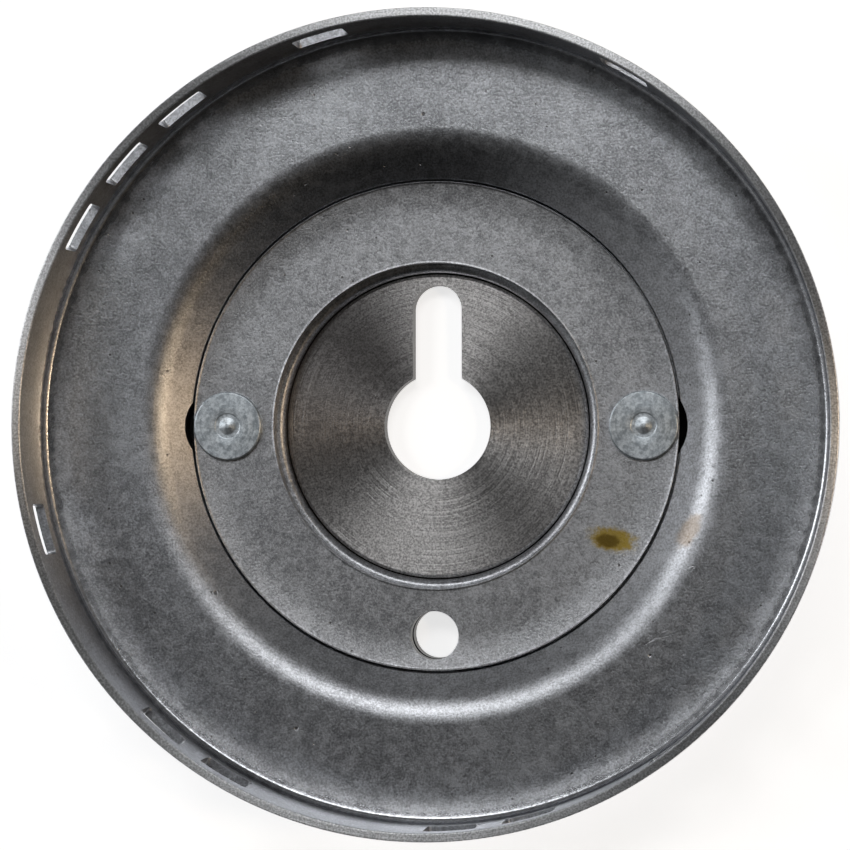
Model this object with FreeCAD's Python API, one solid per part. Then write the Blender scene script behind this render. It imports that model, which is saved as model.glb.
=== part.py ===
import FreeCAD, Part
import math
import os

# A small-engine flywheel: a deep-drawn steel drum with coded windows round its rim, clamped by two
# rivets between a turned hub plate behind and a flat clamp ring in front.
# Frame: +Z is the spin axis and points out of the drum's open mouth, z = 0 is the hub plate's back
# face, +Y runs up the keyhole slot, and the rivets lie on the X axis. All sizes are in millimetres.

# --- Drum: drawn from one sheet ---
DRUM_OUTER_D = 166.0
SHEET = 1.8                 # sheet thickness, the same in rim, floor, slope and web
RIM_DEPTH = 20.0            # from the flat floor up to the rim's front edge
RIM_CORNER_R = 3.0          # inside radius between floor and rim wall
RIM_EDGE_BREAK_R = 0.3      # the turned front edge's corners
DISH_DEPTH = 5.0            # from the floor down to the clamp ring's front face
SLOPE_ANGLE = 34.0          # of the slope that leads down from the floor, degrees
SLOPE_BEND_R = 11.4         # outside radius where the floor bends into the slope
NEST_GAP = 0.5              # radial gap round the clamp ring in its nest
NEST_LIP = 0.3              # how far the nest's upper edge stands above the ring's inner face
NEST_EDGE_R = 0.5           # its upper edge
NEST_FOOT_R = 0.3           # its inside foot
WEB_LIP_R = 0.9             # rounded front edge of the drum's centre opening
WEB_BACK_R = 0.2            # its back edge

# --- Rim windows: some places of an even ring are punched ---
WINDOW_PLACES = 32
WINDOWS_PUNCHED = (0, 1, 5, 9, 11, 12, 13, 17, 20, 21, 24, 25, 27, 28, 29)
WINDOW_PHASE = 3.9          # place 0 from +X, degrees
WINDOW_LENGTH = 10.6        # round the rim
WINDOW_HEIGHT = 9.0         # along the axis
WINDOW_TO_EDGE = 4.2        # from the rim's front edge
WINDOW_CORNER_R = 0.8
SEAM_PLACE = 3              # an unpunched place, clear of every hole, where turned faces close

# --- Clamp ring ---
RING_OUTER_D = 100.8
RING_LEDGE = 1.8            # ring of drum web left showing inside the clamp ring's opening
RING_THICKNESS = 3.2
RING_CURL_WIDTH = 3.9       # outer band that curls gently up to the rim
RING_CURL_ANGLE = 8.0       # degrees
RING_CURL_R = 50.0
RING_OPENING_EDGE_R = 0.2

# --- Hub plate ---
HUB_FLANGE_MARGIN = 2.3     # how far the flange reaches past the drum's nest wall
HUB_FLANGE_T = 4.0
HUB_EDGE_BREAK = 0.5
PILOT_D = 63.2              # boss that centres the drum
PILOT_RISE = 0.8
PILOT_CHAMFER = 0.7
PILOT_FIT = 0.2             # radial gap between pilot and drum opening
BORE_D = 22.2
SLOT_WIDTH = 10.2           # keyhole slot
SLOT_REACH = 29.3           # from the axis to the slot's round end
KEYHOLE_BREAK = 0.25        # chamfer round the keyhole's front edge

# --- Rivets and the drive-pin hole, on one pitch circle that keeps the heads inside the ring ---
RIVET_HEAD_TO_EDGE = 0.1    # from a rivet head to the clamp ring's outer edge
PIN_HOLE_D = 10.0
PIN_HOLE_WEB_EXTRA = 0.5    # radial clearance where the hole passes the drum
RIVET_SHANK_D = 8.0
RIVET_FIT = 0.05            # radial
RIVET_HEAD_D = 14.2
RIVET_HEAD_T = 1.4
RIVET_HEAD_EDGE_R = 0.35
RIVET_DISH_D = 6.4          # spun dish in the head
RIVET_DISH_DEPTH = 0.35
RIVET_NIPPLE_D = 2.4        # nipple left at the middle of the dish
RIVET_NIPPLE_H = 0.8
RIVET_TAIL_D = 12.6         # countersunk tail, flush with the hub plate's back
RIVET_SEAT_MARGIN = 0.5     # radial, of the flat that the head is spun down on
RIVET_SEAT_SINK = 0.1       # how far that flat is pressed into the clamp ring
RIVET_HOLE_IN_WEB_D = 18.0  # open hole that lets the drum be timed before riveting

# --- Levels and radii that follow ---
WEB_BACK_Z = HUB_FLANGE_T
WEB_FRONT_Z = WEB_BACK_Z + SHEET
RING_FACE_Z = WEB_FRONT_Z + RING_THICKNESS
FLOOR_Z = RING_FACE_Z + DISH_DEPTH
RIM_FRONT_Z = FLOOR_Z + RIM_DEPTH
RIVET_SEAT_Z = RING_FACE_Z - RIVET_SEAT_SINK
DRUM_OUTER_R = DRUM_OUTER_D / 2
RIM_INNER_R = DRUM_OUTER_R - SHEET
RING_OUTER_R = RING_OUTER_D / 2
NEST_R = RING_OUTER_R + NEST_GAP
WEB_OPENING_R = PILOT_D / 2 + PILOT_FIT
RING_OPENING_R = WEB_OPENING_R + RING_LEDGE
HUB_FLANGE_R = NEST_R + SHEET + HUB_FLANGE_MARGIN
PITCH_R = RING_OUTER_R - RIVET_HEAD_TO_EDGE - RIVET_HEAD_D / 2
CUT_MARGIN = 1.0            # how far a cutting tool runs past the faces that it cuts

AXIS = FreeCAD.Vector(0, 0, 1)
ORIGIN = FreeCAD.Vector(0, 0, 0)


def window_angle(place):
    return WINDOW_PHASE + place * 360 / WINDOW_PLACES


def section_point(radius, z):
    return FreeCAD.Vector(radius, 0, z)


def rounded_face(corners):
    """Face in the XZ plane from (radius, z, corner radius) corners, with tangent arcs at the rounded ones."""
    count = len(corners)
    ends = []
    for index, (radius, z, round_r) in enumerate(corners):
        corner = section_point(radius, z)
        before = section_point(*corners[index - 1][:2]) - corner
        after = section_point(*corners[(index + 1) % count][:2]) - corner
        before.normalize()
        after.normalize()
        if round_r == 0:
            ends.append((corner, corner, corner))
            continue
        half_angle = before.getAngle(after) / 2
        trim = round_r / math.tan(half_angle)
        bisector = before + after
        bisector.normalize()
        middle = corner + bisector * (round_r / math.sin(half_angle) - round_r)
        ends.append((corner + before * trim, middle, corner + after * trim))
    edges = []
    for index, (start, middle, end) in enumerate(ends):
        if not start.isEqual(end, 1e-7):
            edges.append(Part.Arc(start, middle, end).toShape())
        following = ends[(index + 1) % count][0]
        if not end.isEqual(following, 1e-7):
            edges.append(Part.LineSegment(end, following).toShape())
    return Part.Face(Part.Wire(edges))


def turned(corners):
    """Solid of revolution about the Z axis, its seam at the seam place."""
    solid = rounded_face(corners).revolve(ORIGIN, AXIS, 360)
    solid.rotate(ORIGIN, AXIS, window_angle(SEAM_PLACE))
    return solid


def cylinder_at(x, y, radius, low_z, high_z):
    return Part.makeCylinder(radius, high_z - low_z, FreeCAD.Vector(x, y, low_z), AXIS)


def drum_corners():
    """The drum's half section: inner side from the rim edge to the web opening, then back outside."""
    slope = math.radians(SLOPE_ANGLE)
    lip_z = RING_FACE_Z + NEST_LIP
    slope_top_r = NEST_R + (FLOOR_Z - lip_z) / math.tan(slope)
    back_wall_r = NEST_R + SHEET
    back_top_r = slope_top_r + SHEET * math.tan(slope / 2)
    back_floor_z = FLOOR_Z - SHEET
    back_corner_z = back_floor_z - (back_top_r - back_wall_r) * math.tan(slope)
    return [
        (RIM_INNER_R, RIM_FRONT_Z, RIM_EDGE_BREAK_R),
        (RIM_INNER_R, FLOOR_Z, RIM_CORNER_R),
        (slope_top_r, FLOOR_Z, SLOPE_BEND_R),
        (NEST_R, lip_z, NEST_EDGE_R),
        (NEST_R, WEB_FRONT_Z, NEST_FOOT_R),
        (WEB_OPENING_R, WEB_FRONT_Z, WEB_LIP_R),
        (WEB_OPENING_R, WEB_BACK_Z, WEB_BACK_R),
        (back_wall_r, WEB_BACK_Z, NEST_FOOT_R + SHEET),
        (back_wall_r, back_corner_z, NEST_EDGE_R),
        (back_top_r, back_floor_z, SLOPE_BEND_R - SHEET),
        (DRUM_OUTER_R, back_floor_z, RIM_CORNER_R + SHEET),
        (DRUM_OUTER_R, RIM_FRONT_Z, RIM_EDGE_BREAK_R),
    ]


def window_cutter(angle):
    """Box with rounded corners that reaches through the rim wall at an angle from +X."""
    inner_r = RIM_INNER_R - CUT_MARGIN
    low_z = RIM_FRONT_Z - WINDOW_TO_EDGE - WINDOW_HEIGHT
    corner = FreeCAD.Vector(inner_r, -WINDOW_LENGTH / 2, low_z)
    box = Part.makeBox(SHEET + 2 * CUT_MARGIN, WINDOW_LENGTH, WINDOW_HEIGHT, corner)
    radial = [edge for edge in box.Edges if abs(edge.tangentAt(edge.FirstParameter).x) > 0.9]
    box = box.makeFillet(WINDOW_CORNER_R, radial)
    box.rotate(ORIGIN, AXIS, angle)
    return box


def make_drum():
    drum = turned(drum_corners())
    cutters = []
    for place in WINDOWS_PUNCHED:
        cutters.append(window_cutter(window_angle(place)))
    for side in (-1, 1):
        low_z = WEB_BACK_Z - CUT_MARGIN
        cutters.append(cylinder_at(side * PITCH_R, 0, RIVET_HOLE_IN_WEB_D / 2, low_z, FLOOR_Z))
    pin_hole_r = PIN_HOLE_D / 2 + PIN_HOLE_WEB_EXTRA
    cutters.append(cylinder_at(0, -PITCH_R, pin_hole_r, WEB_BACK_Z - CUT_MARGIN, FLOOR_Z))
    return drum.cut(cutters)


def make_ring():
    curl_r = RING_OUTER_R - RING_CURL_WIDTH
    curl_rise = RING_CURL_WIDTH * math.tan(math.radians(RING_CURL_ANGLE))
    ring = turned([
        (RING_OPENING_R, WEB_FRONT_Z, RING_OPENING_EDGE_R),
        (curl_r, WEB_FRONT_Z, RING_CURL_R),
        (RING_OUTER_R, WEB_FRONT_Z + curl_rise, 0),
        (RING_OUTER_R, RING_FACE_Z + curl_rise, 0),
        (curl_r, RING_FACE_Z, RING_CURL_R - RING_THICKNESS),
        (RING_OPENING_R, RING_FACE_Z, RING_OPENING_EDGE_R),
    ])
    above_z = RING_FACE_Z + curl_rise + CUT_MARGIN
    below_z = WEB_FRONT_Z - CUT_MARGIN
    cutters = [cylinder_at(0, -PITCH_R, PIN_HOLE_D / 2, below_z, above_z)]
    shank_hole_r = RIVET_SHANK_D / 2 + RIVET_FIT
    seat_r = RIVET_HEAD_D / 2 + RIVET_SEAT_MARGIN
    for side in (-1, 1):
        cutters.append(cylinder_at(side * PITCH_R, 0, shank_hole_r, below_z, above_z))
        cutters.append(cylinder_at(side * PITCH_R, 0, seat_r, RIVET_SEAT_Z, above_z))
    return ring.cut(cutters)


def keyhole_cutter(low_z, high_z):
    """Round bore with a round-ended slot towards +Y."""
    slot_r = SLOT_WIDTH / 2
    slot_end_y = SLOT_REACH - slot_r
    bore = cylinder_at(0, 0, BORE_D / 2, low_z, high_z)
    slot = Part.makeBox(SLOT_WIDTH, slot_end_y, high_z - low_z, FreeCAD.Vector(-slot_r, 0, low_z))
    slot_end = cylinder_at(0, slot_end_y, slot_r, low_z, high_z)
    return bore.fuse([slot, slot_end]).removeSplitter()


def countersink(clearance):
    """Shank radius, tail radius and depth of a rivet's 90 degree tail, set out by clearance."""
    shank_r = RIVET_SHANK_D / 2 + clearance
    tail_r = RIVET_TAIL_D / 2 + clearance
    return shank_r, tail_r, tail_r - shank_r


def make_hub():
    pilot_r = PILOT_D / 2
    face_z = HUB_FLANGE_T + PILOT_RISE
    hub = turned([
        (0, 0, 0),
        (HUB_FLANGE_R - HUB_EDGE_BREAK, 0, 0),
        (HUB_FLANGE_R, HUB_EDGE_BREAK, 0),
        (HUB_FLANGE_R, HUB_FLANGE_T - HUB_EDGE_BREAK, 0),
        (HUB_FLANGE_R - HUB_EDGE_BREAK, HUB_FLANGE_T, 0),
        (pilot_r, HUB_FLANGE_T, 0),
        (pilot_r, face_z - PILOT_CHAMFER, 0),
        (pilot_r - PILOT_CHAMFER, face_z, 0),
        (0, face_z, 0),
    ])
    cutters = [keyhole_cutter(-CUT_MARGIN, face_z + CUT_MARGIN)]
    cutters.append(cylinder_at(0, -PITCH_R, PIN_HOLE_D / 2, -CUT_MARGIN, face_z))
    shank_r, tail_r, sink = countersink(RIVET_FIT)
    for side in (-1, 1):
        place = FreeCAD.Vector(side * PITCH_R, 0, 0)
        cutters.append(cylinder_at(place.x, 0, shank_r, -CUT_MARGIN, face_z))
        cutters.append(Part.makeCone(tail_r, shank_r, sink, place, AXIS))
    hub = hub.cut(cutters)
    inside_pilot_face = pilot_r - PILOT_CHAMFER * 1.5
    keyhole_edges = []
    for edge in hub.Edges:
        box = edge.BoundBox
        on_face = abs(box.ZMin - face_z) < 1e-6 and abs(box.ZMax - face_z) < 1e-6
        if on_face and max(box.XMax, box.YMax) < inside_pilot_face:
            keyhole_edges.append(edge)
    return hub.makeChamfer(KEYHOLE_BREAK, keyhole_edges)


def make_rivet(side):
    """Countersunk steel rivet whose front head is spun flat, with a shallow dish and a middle nipple."""
    shank_r, tail_r, sink = countersink(0)
    head_r = RIVET_HEAD_D / 2
    head_z = RIVET_SEAT_Z + RIVET_HEAD_T
    dish_z = head_z - RIVET_DISH_DEPTH
    nipple_r = RIVET_NIPPLE_D / 2
    rivet = turned([
        (0, 0, 0),
        (tail_r, 0, 0),
        (shank_r, sink, 0),
        (shank_r, RIVET_SEAT_Z, 0),
        (head_r, RIVET_SEAT_Z, RIVET_HEAD_EDGE_R),
        (head_r, head_z, RIVET_HEAD_EDGE_R),
        (RIVET_DISH_D / 2, head_z, 0),
        (nipple_r, dish_z, 0),
        (nipple_r / 2, dish_z + RIVET_NIPPLE_H, RIVET_NIPPLE_H / 3),
        (0, dish_z + RIVET_NIPPLE_H, 0),
    ])
    rivet.translate(FreeCAD.Vector(side * PITCH_R, 0, 0))
    return rivet


def export(name, shape):
    if not shape.isValid() or len(shape.Solids) != 1:
        raise RuntimeError(f"{name} is not one valid solid")
    shape.Solids[0].exportStep(f"parts/{name}.step")
    print(f"{name}: volume {shape.Volume:.1f} mm3")


os.makedirs("parts", exist_ok=True)
export("drum", make_drum())
export("clamp_ring", make_ring())
export("hub_plate", make_hub())
export("rivet_left", make_rivet(-1))
export("rivet_right", make_rivet(1))
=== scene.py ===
import math

import bmesh
import bpy
from mathutils import Matrix, Vector


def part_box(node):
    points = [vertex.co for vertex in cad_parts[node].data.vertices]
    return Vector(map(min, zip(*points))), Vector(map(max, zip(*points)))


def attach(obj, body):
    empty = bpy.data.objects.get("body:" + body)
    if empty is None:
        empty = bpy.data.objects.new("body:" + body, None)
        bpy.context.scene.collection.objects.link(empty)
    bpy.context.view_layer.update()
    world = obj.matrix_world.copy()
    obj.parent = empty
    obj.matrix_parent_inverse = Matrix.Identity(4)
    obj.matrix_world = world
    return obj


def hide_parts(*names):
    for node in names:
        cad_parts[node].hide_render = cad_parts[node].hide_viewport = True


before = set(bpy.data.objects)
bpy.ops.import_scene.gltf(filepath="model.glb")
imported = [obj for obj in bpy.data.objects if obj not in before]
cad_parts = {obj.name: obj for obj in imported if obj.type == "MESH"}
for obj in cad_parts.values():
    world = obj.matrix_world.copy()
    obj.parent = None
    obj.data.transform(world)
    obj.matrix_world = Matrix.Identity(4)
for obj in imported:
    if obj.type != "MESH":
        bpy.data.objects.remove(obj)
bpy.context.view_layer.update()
MM = 0.001

# --- Drum ---
# The body of the flywheel: one steel sheet drawn into a shallow tray, with a sunk nest at its middle.
# Timing windows are punched through the rim wall, and the wall's front edge is turned true.
drum_low, drum_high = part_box("drum")
ring_low, ring_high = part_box("clamp_ring")
rivet_low, rivet_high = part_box("rivet_right")
DRUM_R = drum_high.x
RIM_FRONT_Z = drum_high.z
WEB_BACK_Z = drum_low.z
WEB_FRONT_Z = ring_low.z
PITCH_R = (rivet_low.x + rivet_high.x) / 2
SHEET = WEB_FRONT_Z - WEB_BACK_Z
RIM_INNER_R = DRUM_R - SHEET
RING_THICKNESS = 3.2 * MM
RING_FACE_Z = WEB_FRONT_Z + RING_THICKNESS
DISH_DEPTH = 5.0 * MM
FLOOR_Z = RING_FACE_Z + DISH_DEPTH
NEST_GAP = 0.5 * MM
NEST_R = ring_high.x + NEST_GAP
NEST_LIP = 0.3 * MM
NEST_LIP_Z = RING_FACE_Z + NEST_LIP
NEST_FOOT_R = 0.3 * MM
NEST_EDGE_R = 0.3 * MM
SLOPE = math.radians(34)
SLOPE_BEND_R = 11.4 * MM
RIM_CORNER_R = 1.4 * MM
FLOOR_RISE_START_R = 77.3 * MM
FLOOR_RISE = 0.73 * MM
FLOOR_RISE_BEND_R = 25 * MM
BACK_CORNER_R = 4.8 * MM
RIM_EDGE_R = 0.3 * MM
WEB_OPENING_R = 31.8 * MM
WEB_LIP_R = 1.5 * MM
WEB_BACK_R = 0.2 * MM
WINDOW_PLACES = 32
WINDOWS_PUNCHED = (0, 1, 5, 9, 11, 12, 13, 17, 20, 21, 24, 25, 27, 28, 29)
WINDOW_PHASE = math.radians(3.9)
WINDOW_LENGTH = 10.6 * MM
WINDOW_HEIGHT = 9.0 * MM
WINDOW_TO_EDGE = 4.2 * MM
WINDOW_CORNER_R = 0.8 * MM
WINDOW_CORNER_STEPS = 5
PUNCHED_EDGE_BREAK = 0.12 * MM
RIVET_HOLE_R = 9.0 * MM
PIN_HOLE_R = 5.0 * MM
PIN_HOLE_WEB_EXTRA = 0.5 * MM
SPIN_STEPS = 384
ARC_STEP = math.radians(8)
MIN_ARC_STEPS = 3
SMOOTH_BELOW = math.radians(32)
SHARP_ABOVE = math.radians(50)
MERGE_WITHIN = 0.002 * MM


def rounded(corners):
    """Points of an outline from (radius, z, corner radius) corners, with arcs at the round ones."""
    points = []
    for index, (radius, z, round_r) in enumerate(corners):
        corner = Vector((radius, z))
        to_last = (Vector(corners[index - 1][:2]) - corner).normalized()
        to_next = (Vector(corners[(index + 1) % len(corners)][:2]) - corner).normalized()
        if round_r == 0:
            points.append(corner)
            continue
        half_angle = to_last.angle(to_next) / 2
        centre = corner + (to_last + to_next).normalized() * (round_r / math.sin(half_angle))
        first = corner + to_last * (round_r / math.tan(half_angle)) - centre
        last = corner + to_next * (round_r / math.tan(half_angle)) - centre
        turn = math.pi - 2 * half_angle
        steps = max(MIN_ARC_STEPS, math.ceil(turn / ARC_STEP))
        for step in range(steps + 1):
            share = step / steps
            arm = first * math.sin((1 - share) * turn) + last * math.sin(share * turn)
            points.append(centre + arm / math.sin(turn))
    return points


def take(*pieces):
    """Selects these objects and no others, and makes the first one active."""
    bpy.ops.object.select_all(action="DESELECT")
    for piece in pieces:
        piece.select_set(True)
    bpy.context.view_layer.objects.active = pieces[0]


def spun(name, outline, steps=SPIN_STEPS, centre=(0, 0)):
    """A closed (radius, z) outline drawn point by point, then spun once round a line along Z."""
    bpy.ops.object.select_all(action="DESELECT")
    bpy.ops.mesh.primitive_plane_add(size=MM)
    piece = bpy.context.object
    piece.name = name
    bpy.ops.object.mode_set(mode="EDIT")
    bpy.ops.mesh.select_mode(type="VERT")
    bpy.ops.mesh.select_all(action="SELECT")
    bpy.ops.mesh.merge(type="CENTER")
    bpy.ops.transform.translate(value=(centre[0] + outline[0].x, centre[1], outline[0].y))
    for here, there in zip(outline, outline[1:] + outline[:1]):
        step = (there.x - here.x, 0, there.y - here.y)
        bpy.ops.mesh.extrude_region_move(TRANSFORM_OT_translate={"value": step})
    bpy.ops.mesh.select_all(action="SELECT")
    bpy.ops.mesh.spin(steps=steps, angle=2 * math.pi, center=(*centre, 0), axis=(0, 0, 1))
    bpy.ops.mesh.select_all(action="SELECT")
    bpy.ops.mesh.remove_doubles(threshold=MERGE_WITHIN)
    bpy.ops.mesh.normals_make_consistent(inside=False)
    bpy.ops.object.mode_set(mode="OBJECT")
    return piece


def cut(piece, *cutters):
    """Takes the cutters' volume out of the piece."""
    take(*cutters)
    if len(cutters) > 1:
        bpy.ops.object.join()
    take(piece)
    bpy.ops.object.modifier_add(type="BOOLEAN")
    modifier = piece.modifiers[-1]
    modifier.object = cutters[0]
    modifier.solver = "EXACT"
    bpy.ops.object.modifier_apply(modifier=modifier.name)
    bpy.data.objects.remove(cutters[0])


def round_cutter(x, y, radius, low_z, high_z, steps=96):
    """An upright cylinder that cuts one round hole."""
    bpy.ops.object.select_all(action="DESELECT")
    depth = high_z - low_z
    middle = (x, y, (low_z + high_z) / 2)
    bpy.ops.mesh.primitive_cylinder_add(vertices=steps, radius=radius, depth=depth, location=middle)
    bpy.ops.object.transform_apply()
    return bpy.context.object


def break_edges(piece, width, sharper_than=SHARP_ABOVE):
    """Bevels every edge that a cut left sharp."""
    take(piece)
    bpy.ops.object.mode_set(mode="EDIT")
    bpy.ops.mesh.select_mode(type="EDGE")
    bpy.ops.mesh.select_all(action="DESELECT")
    bpy.ops.mesh.edges_select_sharp(sharpness=sharper_than)
    bpy.ops.mesh.bevel(offset=width, segments=2, profile=0.5, clamp_overlap=True)
    bpy.ops.object.mode_set(mode="OBJECT")


def finish_surface(piece):
    """Smooth shading that stays crisp at edges and true on flat faces."""
    take(piece)
    bpy.ops.object.shade_smooth_by_angle(angle=SMOOTH_BELOW)
    bpy.ops.object.modifier_add(type="WEIGHTED_NORMAL")
    piece.modifiers[-1].keep_sharp = True
    bpy.ops.object.modifier_apply(modifier=piece.modifiers[-1].name)


def window_cutter():
    """One punched window at +X: a block through the rim wall with its four through edges rounded."""
    bpy.ops.object.select_all(action="DESELECT")
    bpy.ops.mesh.primitive_cube_add(size=1)
    cutter = bpy.context.object
    window_z = RIM_FRONT_Z - WINDOW_TO_EDGE - WINDOW_HEIGHT / 2
    bpy.ops.object.mode_set(mode="EDIT")
    bpy.ops.transform.resize(value=(SHEET * 3, WINDOW_LENGTH, WINDOW_HEIGHT))
    bpy.ops.transform.translate(value=(DRUM_R - SHEET / 2, 0, window_z))
    bpy.ops.mesh.select_mode(type="EDGE")
    bpy.ops.mesh.select_all(action="DESELECT")
    mesh = bmesh.from_edit_mesh(cutter.data)
    for edge in mesh.edges:
        along = edge.verts[0].co - edge.verts[1].co
        edge.select_set(abs(along.x) > SHEET)
    bmesh.update_edit_mesh(cutter.data)
    bpy.ops.mesh.bevel(offset=WINDOW_CORNER_R, segments=WINDOW_CORNER_STEPS)
    bpy.ops.object.mode_set(mode="OBJECT")
    return cutter


slope_top_r = NEST_R + (FLOOR_Z - NEST_LIP_Z) / math.tan(SLOPE)
back_wall_r = NEST_R + SHEET
back_top_r = slope_top_r + SHEET * math.tan(SLOPE / 2)
back_floor_z = FLOOR_Z - SHEET
back_corner_z = back_floor_z - (back_top_r - back_wall_r) * math.tan(SLOPE)
drum = spun("pressed_drum", rounded([
    (RIM_INNER_R, RIM_FRONT_Z, RIM_EDGE_R),
    (RIM_INNER_R, FLOOR_Z + FLOOR_RISE, RIM_CORNER_R),
    (FLOOR_RISE_START_R, FLOOR_Z, FLOOR_RISE_BEND_R),
    (slope_top_r, FLOOR_Z, SLOPE_BEND_R),
    (NEST_R, NEST_LIP_Z, NEST_EDGE_R),
    (NEST_R, WEB_FRONT_Z, NEST_FOOT_R),
    (WEB_OPENING_R, WEB_FRONT_Z, WEB_LIP_R),
    (WEB_OPENING_R, WEB_BACK_Z, WEB_BACK_R),
    (back_wall_r, WEB_BACK_Z, NEST_FOOT_R + SHEET),
    (back_wall_r, back_corner_z, NEST_EDGE_R),
    (back_top_r, back_floor_z, SLOPE_BEND_R - SHEET),
    (DRUM_R, back_floor_z, BACK_CORNER_R),
    (DRUM_R, RIM_FRONT_Z, RIM_EDGE_R),
]))
first_window = window_cutter()
windows = []
for place in WINDOWS_PUNCHED:
    take(first_window)
    bpy.ops.object.duplicate()
    window = bpy.context.object
    window.rotation_euler.z = WINDOW_PHASE + place * 2 * math.pi / WINDOW_PLACES
    bpy.ops.object.transform_apply()
    windows.append(window)
bpy.data.objects.remove(first_window)
web_holes = [
    round_cutter(PITCH_R, 0, RIVET_HOLE_R, 0, FLOOR_Z),
    round_cutter(-PITCH_R, 0, RIVET_HOLE_R, 0, FLOOR_Z),
    round_cutter(0, -PITCH_R, PIN_HOLE_R + PIN_HOLE_WEB_EXTRA, 0, FLOOR_Z),
]
cut(drum, *windows, *web_holes)
break_edges(drum, PUNCHED_EDGE_BREAK)
finish_surface(drum)


def metal(name, roughness):
    """A new metal material with its node tree and its shader."""
    material = bpy.data.materials.new(name)
    material.use_nodes = True
    tree = material.node_tree
    shader = tree.nodes["Principled BSDF"]
    shader.inputs["Metallic"].default_value = 1
    shader.inputs["Roughness"].default_value = roughness
    return material, tree, shader


def add(tree, kind, sockets=None, **settings):
    """Adds a node; each socket takes a plain value or another node's output."""
    node = tree.nodes.new(kind)
    for setting, value in settings.items():
        setattr(node, setting, value)
    for socket, value in (sockets or {}).items():
        if isinstance(value, bpy.types.NodeSocket):
            tree.links.new(value, node.inputs[socket])
        else:
            node.inputs[socket].default_value = value
    return node


def place_on(tree, centre=(0, 0, 0), turn=0, scale=(1, 1, 1)):
    """Object coordinates measured from a centre, turned round Z and scaled."""
    coordinates = add(tree, "ShaderNodeTexCoord").outputs["Object"]
    mapping = add(tree, "ShaderNodeMapping", {"Vector": coordinates}, vector_type="TEXTURE")
    mapping.inputs["Location"].default_value = centre
    mapping.inputs["Rotation"].default_value = (0, 0, turn)
    mapping.inputs["Scale"].default_value = scale
    return mapping.outputs["Vector"]


def noise(tree, vector, size, detail=3, roughness=0.55, distortion=0):
    """Cloudy noise whose lumps are about this size, in metres."""
    sockets = {"Vector": vector, "Scale": 1 / size, "Detail": detail,
               "Roughness": roughness, "Distortion": distortion}
    return add(tree, "ShaderNodeTexNoise", sockets).outputs["Fac"]


def reckon(tree, operation, first, second=0.0, third=0.0):
    """One step of arithmetic on plain values or other nodes' outputs."""
    node = add(tree, "ShaderNodeMath", {0: first, 1: second, 2: third}, operation=operation)
    return node.outputs["Value"]


def span(tree, value, from_low, from_high, to_low=0.0, to_high=1.0):
    """Maps a value from one span to another, clamped, with soft ends."""
    sockets = {"Value": value, "From Min": from_low, "From Max": from_high,
               "To Min": to_low, "To Max": to_high}
    node = add(tree, "ShaderNodeMapRange", sockets, interpolation_type="SMOOTHSTEP")
    return node.outputs["Result"]


def blend(tree, factor, under, over):
    """Lays one colour over another by a factor."""
    sockets = {0: factor, 6: under, 7: over}
    return add(tree, "ShaderNodeMix", sockets, data_type="RGBA", blend_type="MIX").outputs[2]


def scratches(tree, turn, spacing, length, width, share):
    """Fine straight scratches that run one way, broken up so that only a share of them shows."""
    along = place_on(tree, turn=turn, scale=(length, spacing, spacing))
    lines = noise(tree, along, 1, detail=1, distortion=0.15)
    line = span(tree, reckon(tree, "ABSOLUTE", reckon(tree, "SUBTRACT", lines, 0.5)), 0, width, 1, 0)
    patches = noise(tree, place_on(tree, turn=turn, centre=(0.3, 0.1, 0)), spacing * 9, detail=2)
    return reckon(tree, "MULTIPLY", line, span(tree, patches, 1 - share, 1 - share + 0.06))


def pits(tree, spacing, size, share):
    """Small round dark specks, with most of the places left empty."""
    cells = add(tree, "ShaderNodeTexVoronoi", {"Vector": place_on(tree), "Scale": 1 / spacing})
    near = span(tree, cells.outputs["Distance"], size * 0.6 / spacing, size / spacing, 1, 0)
    pick = add(tree, "ShaderNodeSeparateColor", {"Color": cells.outputs["Color"]}).outputs["Red"]
    return reckon(tree, "MULTIPLY", near, reckon(tree, "GREATER_THAN", pick, 1 - share))


STAIN_DEPTH = 40 * MM
STAIN_RAG_SIZE = 1.8 * MM


def stain(tree, centre, size, turn):
    """A soft-edged blot with a ragged outline, from 0 outside to 1 at its middle."""
    local = place_on(tree, centre=centre, turn=turn, scale=(*size, STAIN_DEPTH))
    ragged = noise(tree, place_on(tree), STAIN_RAG_SIZE, detail=5, roughness=0.75)
    blot = add(tree, "ShaderNodeTexGradient", {"Vector": local}, gradient_type="SPHERICAL")
    return span(tree, reckon(tree, "MULTIPLY_ADD", ragged, 0.9, blot.outputs["Fac"]), 0.58, 1.0)


def axis_distance(tree, centre=(0, 0, 0)):
    """How far each point is from the line along Z through a centre."""
    here = place_on(tree, centre)
    flat = add(tree, "ShaderNodeVectorMath", {0: here, 1: (1, 1, 0)}, operation="MULTIPLY")
    sockets = {0: flat.outputs["Vector"]}
    return add(tree, "ShaderNodeVectorMath", sockets, operation="LENGTH").outputs["Value"]


GRAIN_SIZE = 0.42 * MM
ROLLED_MOTTLE_SIZE = 2.2 * MM
ROLLED_CLOUD_SIZE = 24 * MM
ROLLED_BUMP = 0.06 * MM
SCUFF_COLOUR = (0.85, 0.86, 0.88, 1)
PIT_COLOUR = (0.10, 0.095, 0.09, 1)
BURNISH_GLOSS = 0.06
BURNISH_LEVELLING = 0.75
STAIN_DULLNESS = 0.15


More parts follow.
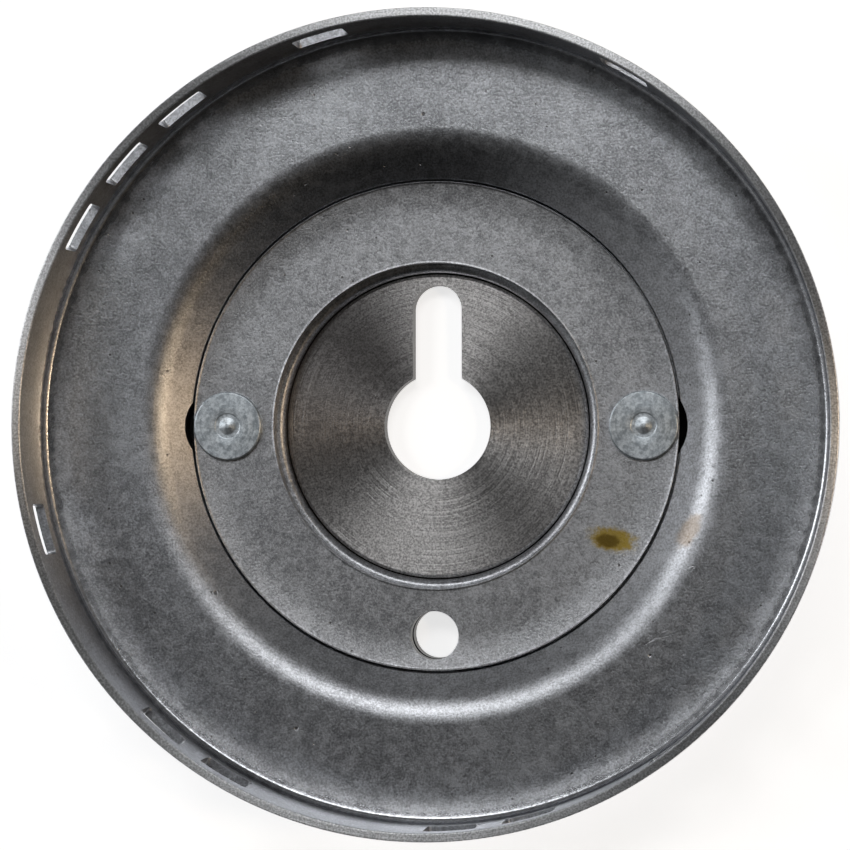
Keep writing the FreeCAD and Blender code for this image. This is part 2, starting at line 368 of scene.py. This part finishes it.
def rolled_steel(name, dark, pale, roughness, stains=(), burnished=()):
    """Cold-rolled sheet after pressing: close mottled grain, specks, pits, and scratches from handling.
    It is smoother where a die rubbed: each such band has an axis distance, a half width and a top."""
    material, tree, shader = metal(name, roughness)
    here = place_on(tree)
    grain = noise(tree, here, GRAIN_SIZE, detail=4, roughness=0.7)
    mottle = noise(tree, here, ROLLED_MOTTLE_SIZE, detail=5, roughness=0.62)
    cloud = noise(tree, here, ROLLED_CLOUD_SIZE, detail=3)
    tone = reckon(tree, "MULTIPLY_ADD", grain, 0.6, reckon(tree, "MULTIPLY_ADD", mottle, 0.22,
                  reckon(tree, "MULTIPLY", cloud, 0.18)))
    colour = blend(tree, span(tree, tone, 0.38, 0.62), dark, pale)
    one_way = scratches(tree, turn=0.5, spacing=3.4 * MM, length=30 * MM, width=0.009, share=0.31)
    other_way = scratches(tree, turn=-0.9, spacing=4.2 * MM, length=36 * MM, width=0.008, share=0.31)
    scuffs = reckon(tree, "MAXIMUM", one_way, other_way)
    fine_pits = pits(tree, spacing=2.4 * MM, size=0.28 * MM, share=0.16)
    large_pits = pits(tree, spacing=9 * MM, size=0.5 * MM, share=0.2)
    specks = reckon(tree, "MAXIMUM", fine_pits, large_pits)
    colour = blend(tree, reckon(tree, "MULTIPLY", scuffs, 0.2), colour, SCUFF_COLOUR)
    colour = blend(tree, reckon(tree, "MULTIPLY", specks, 0.75), colour, PIT_COLOUR)
    dullness = span(tree, mottle, 0.3, 0.7, roughness - 0.02, roughness + 0.03)
    radius = axis_distance(tree)
    level = add(tree, "ShaderNodeSeparateXYZ", {"Vector": here}).outputs["Z"]
    relief = 1.0
    for band_r, half_width, top_z in burnished:
        away = reckon(tree, "ABSOLUTE", reckon(tree, "SUBTRACT", radius, band_r))
        rubbed = reckon(tree, "MULTIPLY", span(tree, away, half_width, half_width / 3),
                        span(tree, level, top_z, top_z - half_width))
        dullness = reckon(tree, "MULTIPLY_ADD", rubbed, -BURNISH_GLOSS, dullness)
        relief = reckon(tree, "MULTIPLY_ADD", rubbed, -BURNISH_LEVELLING, relief)
    for centre, size, turn, strength, tint in stains:
        blot = reckon(tree, "MULTIPLY", stain(tree, centre, size, turn), strength)
        colour = blend(tree, blot, colour, tint)
        dullness = reckon(tree, "MULTIPLY_ADD", blot, STAIN_DULLNESS, dullness)
    height = reckon(tree, "MULTIPLY_ADD", mottle, 0.15, reckon(tree, "MULTIPLY", grain, 0.85))
    height = reckon(tree, "MULTIPLY_ADD", scuffs, -0.3, height)
    height = reckon(tree, "SUBTRACT", reckon(tree, "MULTIPLY_ADD", specks, -1.2, height), 0.5)
    height = reckon(tree, "MULTIPLY", height, relief)
    bump = add(tree, "ShaderNodeBump", {"Height": height, "Strength": 1.0, "Distance": ROLLED_BUMP})
    tree.links.new(colour, shader.inputs["Base Color"])
    tree.links.new(dullness, shader.inputs["Roughness"])
    tree.links.new(bump.outputs["Normal"], shader.inputs["Normal"])
    return material


RING_DRIFT = 0.012
TURNED_PATCH_SIZE = 8 * MM
TURNED_MOTTLE_SIZE = 1.1 * MM
TURNED_BUMP = 0.03 * MM
BRIGHT_SPECK = (0.75, 0.75, 0.76, 1)
BRIGHT_SCRATCH = (0.8, 0.8, 0.8, 1)


def turned_steel(name, dark, pale, roughness, streak, centre=(0, 0, 0), spacing=0.3 * MM, cloudy=0.15):
    """Bare turned steel: fine rings round a centre that stretch each highlight into a streak."""
    material, tree, shader = metal(name, roughness)
    here = place_on(tree, centre)
    radius = axis_distance(tree, centre)
    drift = add(tree, "ShaderNodeVectorMath", {0: here, "Scale": RING_DRIFT}, operation="SCALE")
    spread = add(tree, "ShaderNodeCombineXYZ", {"X": radius})
    sockets = {0: spread.outputs["Vector"], 1: drift.outputs["Vector"]}
    ringed = add(tree, "ShaderNodeVectorMath", sockets, operation="ADD").outputs["Vector"]
    rings = noise(tree, ringed, spacing, detail=3, roughness=0.7)
    patches = noise(tree, here, TURNED_PATCH_SIZE, detail=2)
    grain = noise(tree, here, GRAIN_SIZE, detail=4, roughness=0.7)
    mottle = noise(tree, here, TURNED_MOTTLE_SIZE, detail=5, roughness=0.7)
    worn = span(tree, patches, 0.42, 0.6, 0.25, 1.0)
    rings_left = reckon(tree, "MULTIPLY", reckon(tree, "SUBTRACT", rings, 0.5), worn)
    tone = reckon(tree, "MULTIPLY_ADD", grain, 1 - cloudy, reckon(tree, "MULTIPLY_ADD", mottle, cloudy,
                  reckon(tree, "MULTIPLY", rings_left, 0.5)))
    colour = blend(tree, span(tree, tone, 0.37, 0.63), dark, pale)
    specks = pits(tree, spacing=2.6 * MM, size=0.26 * MM, share=0.12)
    colour = blend(tree, reckon(tree, "MULTIPLY", specks, 0.6), colour, BRIGHT_SPECK)
    scuffs = scratches(tree, turn=0.3, spacing=3.0 * MM, length=50 * MM, width=0.010, share=0.36)
    colour = blend(tree, reckon(tree, "MULTIPLY", scuffs, 0.3), colour, BRIGHT_SCRATCH)
    height = reckon(tree, "MULTIPLY_ADD", rings_left, 1.6, reckon(tree, "MULTIPLY", grain, 0.5))
    bump = add(tree, "ShaderNodeBump", {"Height": height, "Strength": 1.0, "Distance": TURNED_BUMP})
    tangent = add(tree, "ShaderNodeTangent", direction_type="RADIAL", axis="Z")
    dullness = span(tree, mottle, 0.3, 0.7, roughness - 0.03, roughness + 0.04)
    shader.inputs["Anisotropic"].default_value = streak
    shader.inputs["Anisotropic Rotation"].default_value = 0.25
    tree.links.new(tangent.outputs["Tangent"], shader.inputs["Tangent"])
    tree.links.new(colour, shader.inputs["Base Color"])
    tree.links.new(dullness, shader.inputs["Roughness"])
    tree.links.new(bump.outputs["Normal"], shader.inputs["Normal"])
    return material


STAIN_TINT = (0.40, 0.28, 0.025, 1)
STAIN_BROWN = (0.44, 0.30, 0.16, 1)
STAIN_DARK = (0.15, 0.10, 0.02, 1)
drum_steel = rolled_steel(
    "rolled steel of the drum", (0.31, 0.318, 0.338, 1), (0.71, 0.73, 0.77, 1), 0.30,
    stains=[((52.5 * MM, -21.5 * MM, FLOOR_Z), (5.5 * MM, 2.8 * MM), math.radians(60), 0.45, STAIN_BROWN)],
    burnished=[(RIM_INNER_R - 0.7 * MM, 2.2 * MM, FLOOR_Z + 5 * MM)])
drum.data.materials.append(drum_steel)
drum.data.materials.append(turned_steel(
    "turned edge of the drum", (0.46, 0.465, 0.475, 1), (0.92, 0.93, 0.95, 1), 0.33, streak=0.9))
for face in drum.data.polygons:
    if face.center.z > RIM_FRONT_Z - RIM_EDGE_R:
        face.material_index = 1
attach(drum, "root")
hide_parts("drum")

# --- Clamp ring ---
# A flat ring stamped from thicker sheet, which presses the drum's web onto the hub plate. The die
# left its outer band curled a little upwards, with a fine raised lip, and a burr round the opening.
RING_R = ring_high.x
RING_LEDGE = 1.8 * MM
RING_OPENING_R = WEB_OPENING_R + RING_LEDGE
RING_CURL_WIDTH = 3.9 * MM
RING_CURL = math.radians(8)
RING_CURL_R = 50 * MM
RING_LIP_WIDTH = 0.35 * MM
RING_LIP_RISE = 0.15 * MM
RING_LIP_R = 0.6 * MM
RING_LIP_EDGE_R = 0.06 * MM
RING_LIP_FOOT_SHARE = 0.91
RING_BACK_EDGE_R = 0.25 * MM
BURR_WIDTH = 0.45 * MM
BURR_HEIGHT = 0.12 * MM
BURR_FOOT_R = 0.2 * MM
BURR_TOP_R = 0.12 * MM
HOLE_EDGE_BREAK = 0.1 * MM
RIVET_SHANK_R = 4.0 * MM
RIVET_FIT = 0.05 * MM
RING_STAIN_TURN = math.radians(-10)

curl_r = RING_R - RING_CURL_WIDTH
curl_rise = RING_CURL_WIDTH * math.tan(RING_CURL)
ring = spun("stamped_clamp_ring", rounded([
    (RING_OPENING_R, WEB_FRONT_Z, RING_BACK_EDGE_R),
    (curl_r, WEB_FRONT_Z, RING_CURL_R),
    (RING_R, WEB_FRONT_Z + curl_rise, RING_BACK_EDGE_R),
    (RING_R, RING_FACE_Z + curl_rise + RING_LIP_RISE, RING_LIP_EDGE_R),
    (RING_R - RING_LIP_WIDTH, RING_FACE_Z + curl_rise * RING_LIP_FOOT_SHARE, RING_LIP_R),
    (curl_r, RING_FACE_Z, RING_CURL_R - RING_THICKNESS),
    (RING_OPENING_R + BURR_WIDTH, RING_FACE_Z, BURR_FOOT_R),
    (RING_OPENING_R, RING_FACE_Z + BURR_HEIGHT, BURR_TOP_R),
]))
cut(ring,
    round_cutter(0, -PITCH_R, PIN_HOLE_R, 0, FLOOR_Z),
    round_cutter(PITCH_R, 0, RIVET_SHANK_R + RIVET_FIT, 0, FLOOR_Z),
    round_cutter(-PITCH_R, 0, RIVET_SHANK_R + RIVET_FIT, 0, FLOOR_Z))
break_edges(ring, HOLE_EDGE_BREAK)
finish_surface(ring)
ring_steel = rolled_steel(
    "rolled steel of the clamp ring", (0.285, 0.291, 0.306, 1), (0.675, 0.69, 0.722, 1), 0.37,
    stains=[
        ((36.8 * MM, -23.4 * MM, RING_FACE_Z), (7.0 * MM, 3.6 * MM), RING_STAIN_TURN, 0.9, STAIN_TINT),
        ((35.8 * MM, -23.6 * MM, RING_FACE_Z), (3.6 * MM, 2.0 * MM), RING_STAIN_TURN, 0.8, STAIN_DARK),
    ])
ring.data.materials.append(ring_steel)
# Painted shade: the walls of the pin hole, bore and keyhole get near-black steel, standing in for the
# shade inside the holes.
walls_in_painted_shade = rolled_steel(
    "walls of the holes in painted shade", (0.05, 0.048, 0.045, 1), (0.15, 0.145, 0.14, 1), 0.42)
ring.data.materials.append(walls_in_painted_shade)


def is_hole_wall(face, bore_within):
    """Whether a face is on the wall of the pin hole, or on a wall nearer the axis than a radius."""
    upright = abs(face.normal.z) < 0.5
    to_pin = Vector((face.center.x, face.center.y + PITCH_R)).length
    return upright and (to_pin < PIN_HOLE_R + HOLE_EDGE_BREAK or face.center.xy.length < bore_within)


# The pin hole's wall takes the second slot, the near-black painted shade.
for face in ring.data.polygons:
    face.material_index = int(is_hole_wall(face, 0))
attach(ring, "root")
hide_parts("clamp_ring")

# --- Hub plate ---
# A thick steel disc turned on a lathe, with the bore and keyhole slot for the crankshaft. Its raised
# middle centres the drum. Its face is a little hollow and keeps the rings left by the turning tool.
hub_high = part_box("hub_plate")[1]
HUB_R = hub_high.x
HUB_FACE_Z = hub_high.z
HUB_EDGE = 0.5 * MM
PILOT_FIT = 0.2 * MM
PILOT_R = WEB_OPENING_R - PILOT_FIT
PILOT_CHAMFER = 0.7 * MM
BORE_R = 11.1 * MM
SLOT_R = 5.1 * MM
SLOT_REACH = 29.3 * MM
SLOT_END_Y = SLOT_REACH - SLOT_R
RIVET_TAIL_R = 6.3 * MM
CUT_MARGIN = 1.0 * MM
KEYHOLE_BREAK = 0.22 * MM
HUB_SHARP_ABOVE = math.radians(60)
HUB_HOLLOW = 0.6 * MM
BLANK_HOLE_R = BORE_R / 2
SAME_PLACE = 0.01 * MM
# How far below the web's back the painted shade on the hub's flange fades in, and its near-black colour.
SHADE_REACH = 0.4 * MM
SHADE_FADE = 0.1 * MM
PAINTED_SHADE_BLACK = (0.012, 0.011, 0.010, 1)
# Place, size, turn and colour of the painted shade over the upper left of the hub's face.
SIDE_SHADE_CENTRE = (-20 * MM, 9 * MM, HUB_FACE_Z)
SIDE_SHADE_SIZE = (34 * MM, 22 * MM, 5 * MM)
SIDE_SHADE_TURN = math.radians(65)
SIDE_SHADE_BROWN = (0.16, 0.145, 0.14, 1)

hub = spun("turned_hub_plate", rounded([
    (BLANK_HOLE_R, HUB_FACE_Z - HUB_HOLLOW, 0),
    (PILOT_R - PILOT_CHAMFER, HUB_FACE_Z, 0),
    (PILOT_R, HUB_FACE_Z - PILOT_CHAMFER, 0),
    (PILOT_R, WEB_BACK_Z, 0),
    (HUB_R - HUB_EDGE, WEB_BACK_Z, 0),
    (HUB_R, WEB_BACK_Z - HUB_EDGE, 0),
    (HUB_R, HUB_EDGE, 0),
    (HUB_R - HUB_EDGE, 0, 0),
    (BLANK_HOLE_R, 0, 0),
]))
slot = round_cutter(0, SLOT_END_Y, SLOT_R, -CUT_MARGIN, HUB_FACE_Z + CUT_MARGIN)
take(slot)
bpy.ops.object.mode_set(mode="EDIT")
bpy.ops.mesh.select_mode(type="VERT")
bpy.ops.mesh.select_all(action="DESELECT")
slot_mesh = bmesh.from_edit_mesh(slot.data)
for corner in slot_mesh.verts:
    corner.select_set(corner.co.y < SLOT_END_Y - SAME_PLACE)
bmesh.update_edit_mesh(slot.data)
bpy.ops.transform.translate(value=(0, -SLOT_END_Y, 0))
bpy.ops.object.mode_set(mode="OBJECT")
cut(hub, slot)
cut(hub, round_cutter(0, 0, BORE_R, -CUT_MARGIN, HUB_FACE_Z + CUT_MARGIN, steps=192))
cut(hub, round_cutter(0, -PITCH_R, PIN_HOLE_R, -CUT_MARGIN, HUB_FACE_Z + CUT_MARGIN))
for side in (-1, 1):
    sink = spun("countersink", [
        Vector((0, -CUT_MARGIN)),
        Vector((RIVET_TAIL_R + RIVET_FIT + CUT_MARGIN, -CUT_MARGIN)),
        Vector((RIVET_SHANK_R + RIVET_FIT, RIVET_TAIL_R - RIVET_SHANK_R)),
        Vector((RIVET_SHANK_R + RIVET_FIT, WEB_FRONT_Z)),
        Vector((0, WEB_FRONT_Z)),
    ], steps=96, centre=(side * PITCH_R, 0))
    cut(hub, sink)
# The clamp takes almost all of this bevel's width, because the cuts leave some very short edges.
break_edges(hub, KEYHOLE_BREAK, sharper_than=HUB_SHARP_ABOVE)
finish_surface(hub)

hub_steel = turned_steel(
    "turned steel of the hub plate", (0.29, 0.282, 0.28, 1), (0.75, 0.735, 0.73, 1), 0.32, streak=0.80)
hub_tree = hub_steel.node_tree
hub_shader = hub_tree.nodes["Principled BSDF"]
hub_height = add(hub_tree, "ShaderNodeSeparateXYZ", {"Vector": place_on(hub_tree)}).outputs["Z"]
hub_radius = axis_distance(hub_tree)
# Painted shade: the flange face under the drum's web, seen through the gaps round the rivets, is blended
# to near black where shade falls.
painted_shade = reckon(hub_tree, "MULTIPLY",
               span(hub_tree, hub_height, WEB_BACK_Z - SHADE_REACH, WEB_BACK_Z - SHADE_FADE),
               span(hub_tree, hub_radius, PILOT_R - PILOT_FIT, PILOT_R))
bare_steel = hub_shader.inputs["Base Color"].links[0].from_socket
with_painted_shade = blend(hub_tree, painted_shade, bare_steel, PAINTED_SHADE_BLACK)
# Painted shade: a soft brownish dark patch over the upper left of the hub's face, standing in for shade on
# that side.
side_shade_place = place_on(hub_tree, centre=SIDE_SHADE_CENTRE, turn=SIDE_SHADE_TURN, scale=SIDE_SHADE_SIZE)
side_shade = add(hub_tree, "ShaderNodeTexGradient", {"Vector": side_shade_place}, gradient_type="SPHERICAL")
side_shade_share = span(hub_tree, side_shade.outputs["Fac"], 0, 0.8, 0, 0.6)
with_side_shade = blend(hub_tree, side_shade_share, with_painted_shade, SIDE_SHADE_BROWN)
hub_tree.links.new(with_side_shade, hub_shader.inputs["Base Color"])
hub.data.materials.append(hub_steel)
# The walls of the bore, keyhole and pin hole take the second slot, the near-black painted shade.
hub.data.materials.append(walls_in_painted_shade)
for face in hub.data.polygons:
    face.material_index = int(is_hole_wall(face, PILOT_R - PILOT_CHAMFER))
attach(hub, "root")
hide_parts("hub_plate")

# --- Rivets ---
# Two zinc-plated steel rivets hold the stack together. Each has a countersunk tail, flush with the
# hub plate's back, and a head spun flat by a rolling tool, which left a dish and a middle nipple.
RIVET_TAIL_Z = 0.0
RIVET_TOP_ABOVE_SEAT = 1.85 * MM
RIVET_SEAT_Z = rivet_high.z - RIVET_TOP_ABOVE_SEAT
RIVET_HEAD_R = 7.1 * MM
RIVET_HEAD_T = 1.4 * MM
RIVET_HEAD_Z = RIVET_SEAT_Z + RIVET_HEAD_T
RIVET_EDGE_R = 0.35 * MM
RIVET_TAIL_EDGE_R = 0.2 * MM
RIVET_CROWN = 0.05 * MM
RIVET_DISH_R = 3.9 * MM
RIVET_DISH_BEND_R = 6 * MM
RIVET_STEP_R = 2.7 * MM
RIVET_STEP_DROP = 0.04 * MM
RIVET_STEP_RUN = 0.2 * MM
RIVET_STEP_EDGE_R = 0.1 * MM
RIVET_STEP_FOOT_R = 0.2 * MM
RIVET_MOAT_R = 1.75 * MM
RIVET_MOAT_DEPTH = 0.11 * MM
RIVET_MOAT_Z = RIVET_HEAD_Z - RIVET_MOAT_DEPTH
RIVET_MOAT_BEND_R = 0.6 * MM
RIVET_NIPPLE_R = 0.45 * MM
RIVET_NIPPLE_RISE = 0.24 * MM
RIVET_NIPPLE_Z = RIVET_HEAD_Z + RIVET_NIPPLE_RISE
RIVET_NIPPLE_CROWN = 0.02 * MM
RIVET_NIPPLE_BEND_R = 0.4 * MM

rivet_outline = rounded([
    (0, RIVET_TAIL_Z, 0),
    (RIVET_TAIL_R, RIVET_TAIL_Z, RIVET_TAIL_EDGE_R),
    (RIVET_SHANK_R, RIVET_TAIL_R - RIVET_SHANK_R, 0),
    (RIVET_SHANK_R, RIVET_SEAT_Z, 0),
    (RIVET_HEAD_R, RIVET_SEAT_Z, RIVET_EDGE_R),
    (RIVET_HEAD_R, RIVET_HEAD_Z - RIVET_CROWN, RIVET_EDGE_R),
    (RIVET_DISH_R, RIVET_HEAD_Z, RIVET_DISH_BEND_R),
    (RIVET_STEP_R, RIVET_HEAD_Z - RIVET_STEP_DROP, RIVET_STEP_EDGE_R),
    (RIVET_STEP_R - RIVET_STEP_RUN, RIVET_MOAT_Z, RIVET_STEP_FOOT_R),
    (RIVET_MOAT_R, RIVET_MOAT_Z, RIVET_MOAT_BEND_R),
    (RIVET_NIPPLE_R, RIVET_NIPPLE_Z - RIVET_NIPPLE_CROWN, RIVET_NIPPLE_BEND_R),
    (0, RIVET_NIPPLE_Z, 0),
])
for side, node in ((-1, "rivet_left"), (1, "rivet_right")):
    centre = (side * PITCH_R, 0)
    rivet = spun(f"spun_{node}", rivet_outline, steps=128, centre=centre)
    finish_surface(rivet)
    plating = turned_steel(
        f"zinc plating of {node}", (0.43, 0.485, 0.53, 1), (0.88, 0.945, 0.995, 1), 0.40,
        streak=0.3, centre=(*centre, 0), spacing=0.4 * MM, cloudy=0.6)
    rivet.data.materials.append(plating)
    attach(rivet, "root")
    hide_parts(node)

# --- Floor ---
# A plain white table top under the flywheel. It keeps the flywheel's shadow, metal sees it white,
# and it shows nothing from below.
FLOOR_SIZE = 60
FLOOR_GLOW = 0.74
FLOOR_PAINT = (0.8, 0.8, 0.8, 1)
bpy.ops.object.select_all(action="DESELECT")
bpy.ops.mesh.primitive_plane_add(size=FLOOR_SIZE)
floor = bpy.context.object
floor.name = "white_floor"
floor_paint = bpy.data.materials.new("white floor paint")
floor_paint.use_nodes = True
floor_tree = floor_paint.node_tree
floor_tree.nodes.remove(floor_tree.nodes["Principled BSDF"])
rays = add(floor_tree, "ShaderNodeLightPath")
seen = reckon(floor_tree, "MAXIMUM", rays.outputs["Is Camera Ray"], reckon(
    floor_tree, "MAXIMUM", rays.outputs["Is Glossy Ray"], rays.outputs["Is Transmission Ray"]))
matt = add(floor_tree, "ShaderNodeBsdfDiffuse", {"Color": FLOOR_PAINT})
glow_strength = reckon(floor_tree, "MULTIPLY", seen, FLOOR_GLOW)
glow = add(floor_tree, "ShaderNodeEmission", {"Strength": glow_strength})
lit = add(floor_tree, "ShaderNodeAddShader", {0: matt.outputs["BSDF"], 1: glow.outputs["Emission"]})
below = add(floor_tree, "ShaderNodeNewGeometry").outputs["Backfacing"]
clear = add(floor_tree, "ShaderNodeBsdfTransparent")
two_sides = {0: below, 1: lit.outputs["Shader"], 2: clear.outputs["BSDF"]}
sided = add(floor_tree, "ShaderNodeMixShader", two_sides)
floor_tree.links.new(sided.outputs["Shader"], floor_tree.nodes["Material Output"].inputs["Surface"])
floor.data.materials.append(floor_paint)

# --- Light ---
# A wide soft box stands above the flywheel on its far side, with a smaller one to the left. A small
# warm lamp and a large faint warm panel are to the right, and a faint strip is low on the far side.
# The near side is left dim, so that the pressed slopes show.
LAMP_DISTANCE = 3.0
WHITE = (1.0, 1.0, 1.0)
COOL_WHITE = (0.98, 0.99, 1.0)
WARM_WHITE = (1.0, 0.76, 0.50)
AMBER = (1.0, 0.66, 0.36)
NEAR_GREY = 0.01
FAR_GREY = 0.10
LEFT_GREY = 0.26
RIGHT_GREY = 0.12


def facing(place, aim):
    """Turns a lamp or camera at a place towards an aim, with its own up along +Y."""
    back = (place - aim).normalized()
    right = Vector((0, 1, 0)).cross(back).normalized()
    return Matrix((right, back.cross(right), back)).transposed().to_euler()


def soft_box(name, lean_x, lean_y, width, height, brightness, colour):
    """An oblong lamp aimed at the flywheel; it leans off the spin axis by degrees towards +X and +Y."""
    away = Vector((math.tan(math.radians(lean_x)), math.tan(math.radians(lean_y)), 1)).normalized()
    lamp = bpy.data.lights.new(name, "AREA")
    lamp.shape = "RECTANGLE"
    lamp.size = width
    lamp.size_y = height
    lamp.energy = brightness * math.pi * width * height
    lamp.color = colour
    box = bpy.data.objects.new(name, lamp)
    bpy.context.scene.collection.objects.link(box)
    box.location = away * LAMP_DISTANCE
    box.rotation_euler = facing(box.location, Vector((0, 0, 0)))
    box.visible_camera = False


soft_box("far_soft_box", lean_x=-3, lean_y=24, width=1.25, height=0.62, brightness=5.5, colour=WHITE)
soft_box("left_soft_box", lean_x=-42, lean_y=13, width=0.8, height=0.8, brightness=4.9, colour=COOL_WHITE)
soft_box("right_lamp", lean_x=39, lean_y=-1, width=0.28, height=0.34, brightness=22.0, colour=WARM_WHITE)
soft_box("right_panel", lean_x=55, lean_y=0, width=1.1, height=1.2, brightness=0.8, colour=AMBER)
soft_box("low_strip", lean_x=-5, lean_y=72, width=1.2, height=0.3, brightness=0.6, colour=WHITE)

world = bpy.data.worlds.new("studio")
bpy.context.scene.world = world
world.use_nodes = True
studio = world.node_tree
direction = add(studio, "ShaderNodeTexCoord").outputs["Generated"]
axes = add(studio, "ShaderNodeSeparateXYZ", {"Vector": direction})
far_side = span(studio, axes.outputs["Y"], -0.3, 0.6, NEAR_GREY, FAR_GREY)
left_side = span(studio, axes.outputs["X"], -0.35, -0.9, 0, LEFT_GREY)
right_side = span(studio, axes.outputs["X"], 0.35, 0.9, 0, RIGHT_GREY)
grey = reckon(studio, "ADD", far_side, reckon(studio, "ADD", left_side, right_side))
world_rays = add(studio, "ShaderNodeLightPath")
seen_through = reckon(studio, "MAXIMUM", world_rays.outputs["Is Glossy Ray"],
                      world_rays.outputs["Is Transmission Ray"])
horizon = span(studio, axes.outputs["Z"], 0.02, 0.08, 1, 0)
backdrop = reckon(studio, "MAXIMUM", world_rays.outputs["Is Camera Ray"],
                  reckon(studio, "MULTIPLY", seen_through, horizon))
background = studio.nodes["Background"]
studio.links.new(reckon(studio, "MAXIMUM", backdrop, grey), background.inputs["Strength"])
background.inputs["Color"].default_value = (1, 1, 1, 1)

# --- Camera ---
# It looks straight down into the open drum with a long lens, from a little to the right of the axis.
CAMERA_PLACE = Vector((0.0870, -0.0096, 0.6705))
CAMERA_AIM = Vector((0.0014, -0.0002, 0.0340))
SENSOR_WIDTH = 36
LENS = 137.05
camera = bpy.data.objects.new("camera", bpy.data.cameras.new("camera"))
bpy.context.scene.collection.objects.link(camera)
camera.location = CAMERA_PLACE
camera.rotation_euler = facing(CAMERA_PLACE, CAMERA_AIM)
camera.data.sensor_width = SENSOR_WIDTH
camera.data.lens = LENS
camera.data.clip_start = 0.01
camera.data.clip_end = 100
bpy.context.scene.camera = camera
bpy.context.scene.view_settings.view_transform = "Standard"
